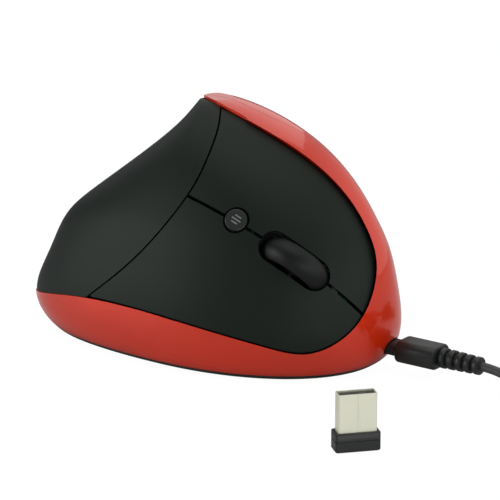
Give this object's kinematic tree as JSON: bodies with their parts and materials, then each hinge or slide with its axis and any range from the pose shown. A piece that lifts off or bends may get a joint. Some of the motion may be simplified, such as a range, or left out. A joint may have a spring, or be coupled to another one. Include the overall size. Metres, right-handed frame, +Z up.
{
  "type": "vertical ergonomic mouse",
  "caption": "Right-handed vertical mouse: glossy shell, two click buttons on a steep face, scroll wheel, thumb buttons, charging cable and wireless receiver.",
  "frame": {"origin": "on the floor under the middle of the mouse's footprint, on the bottom of the ring foot", "axes": "+X forward to the nose where the cable plugs in, +Y to the thumb side, +Z up"},
  "size_m": [0.2214, 0.1433, 0.079],
  "materials": {
    "red_gloss": "glossy red lacquered shell",
    "black_satin": "soft satin black coating",
    "black_plastic": "black moulded plastic",
    "wheel_rubber": "smooth black rubber",
    "grey_plastic": "plain grey inner plastic",
    "board_green": "green circuit board",
    "steel": "bright plated steel",
    "battery_foil": "silver pouch foil",
    "lens_clear": "clear moulded lens",
    "foot_slip": "low-friction black foot",
    "cord_black": "black cable jacket"
  },
  "bodies": {
    "housing": {"left_shell": "red_gloss", "right_frame": "red_gloss", "palm_cover": "black_satin", "button_board": "board_green", "upper_switch": "black_plastic", "lower_switch": "black_plastic", "dpi_switch": "black_plastic", "wheel_switch": "black_plastic", "switch_frame": "black_plastic", "thumb_board": "board_green", "thumb_switches": "black_plastic", "base_plate": "black_plastic", "glide_feet": "foot_slip", "sensor_lens": "lens_clear", "sensor_chip": "black_plastic", "main_board": "board_green", "battery_cell": "battery_foil", "power_switch": "steel", "charge_socket": "steel", "base_screws": "steel", "board_screws": "steel"},
    "upper_click": {"upper_button": "black_satin"},
    "lower_click": {"lower_button": "black_satin"},
    "upper_plunger_body": {"upper_plunger": "grey_plastic"},
    "lower_plunger_body": {"lower_plunger": "grey_plastic"},
    "wheel_carriage_body": {"wheel_carriage": "grey_plastic", "wheel_encoder": "grey_plastic"},
    "wheel": {"wheel_tyre": "wheel_rubber", "wheel_hub": "black_plastic"},
    "dpi": {"dpi_button": "black_plastic"},
    "forward": {"forward_button": "black_satin"},
    "back": {"back_button": "black_satin"},
    "power": {"power_slider": "black_plastic"},
    "charging_cable": {"plug_tip": "steel", "charge_plug": "black_plastic", "charge_cord": "cord_black", "cord_end": "cord_black", "cord_coil": "cord_black", "cord_tie": "cord_black", "usb_plug_grip": "black_plastic", "usb_plug_shell": "steel", "usb_plug_tongue": "black_plastic"},
    "receiver": {"receiver_cap": "black_plastic", "receiver_shell": "steel", "receiver_tongue": "black_plastic"}
  },
  "joints": [
    {"name": "upper_button_press", "type": "hinge", "parent": "housing", "child": "upper_click", "pos_m": [0.00457, -0.01612, 0.04826], "axis": [0.1953, 0.6949, 0.6921], "range_deg": [0, 0.8], "stiffness_Nm_per_rad": 2},
    {"name": "lower_button_press", "type": "hinge", "parent": "housing", "child": "lower_click", "pos_m": [0.00457, -0.01612, 0.04826], "axis": [0.1953, 0.6949, 0.6921], "range_deg": [0, 0.8], "stiffness_Nm_per_rad": 2},
    {"name": "upper_plunger_press", "type": "slide", "parent": "housing", "child": "upper_plunger_body", "axis": [-0.4636, 0.6873, -0.5592], "range_m": [0, 0.000295]},
    {"name": "lower_plunger_press", "type": "slide", "parent": "housing", "child": "lower_plunger_body", "axis": [-0.4636, 0.6873, -0.5592], "range_m": [0, 0.000295]},
    {"name": "wheel_press", "type": "slide", "parent": "housing", "child": "wheel_carriage_body", "axis": [-0.4636, 0.6873, -0.5592], "range_m": [0, 0.0004], "stiffness_N_per_m": 2000},
    {"name": "wheel_spin", "type": "hinge", "parent": "wheel_carriage_body", "child": "wheel", "pos_m": [0.03861, -0.01423, 0.0356], "axis": [0.1953, 0.6949, 0.6921], "continuous": true},
    {"name": "dpi_press", "type": "slide", "parent": "housing", "child": "dpi", "axis": [-0.4636, 0.6873, -0.5592], "range_m": [0, 0.00025], "stiffness_N_per_m": 4000},
    {"name": "forward_press", "type": "slide", "parent": "housing", "child": "forward", "axis": [0, -1, 0], "range_m": [0, 0.00025], "stiffness_N_per_m": 4000},
    {"name": "back_press", "type": "slide", "parent": "housing", "child": "back", "axis": [0, -1, 0], "range_m": [0, 0.00025], "stiffness_N_per_m": 4000},
    {"name": "power_slide", "type": "slide", "parent": "housing", "child": "power", "axis": [1, 0, 0], "range_m": [0, 0.0021]},
    {"name": "charge_plug_pull", "type": "slide", "parent": "housing", "child": "charging_cable", "axis": [1, 0, 0], "range_m": [0, 0.006]},
    {"name": "receiver_lift", "type": "slide", "parent": "housing", "child": "receiver", "axis": [0, 0, 1], "range_m": [0, 0.03]}
  ],
  "couplings": [
    {"joint": "upper_plunger_press", "follows": "upper_button_press", "m_per_rad": 0.021},
    {"joint": "lower_plunger_press", "follows": "lower_button_press", "m_per_rad": 0.021}
  ]
}
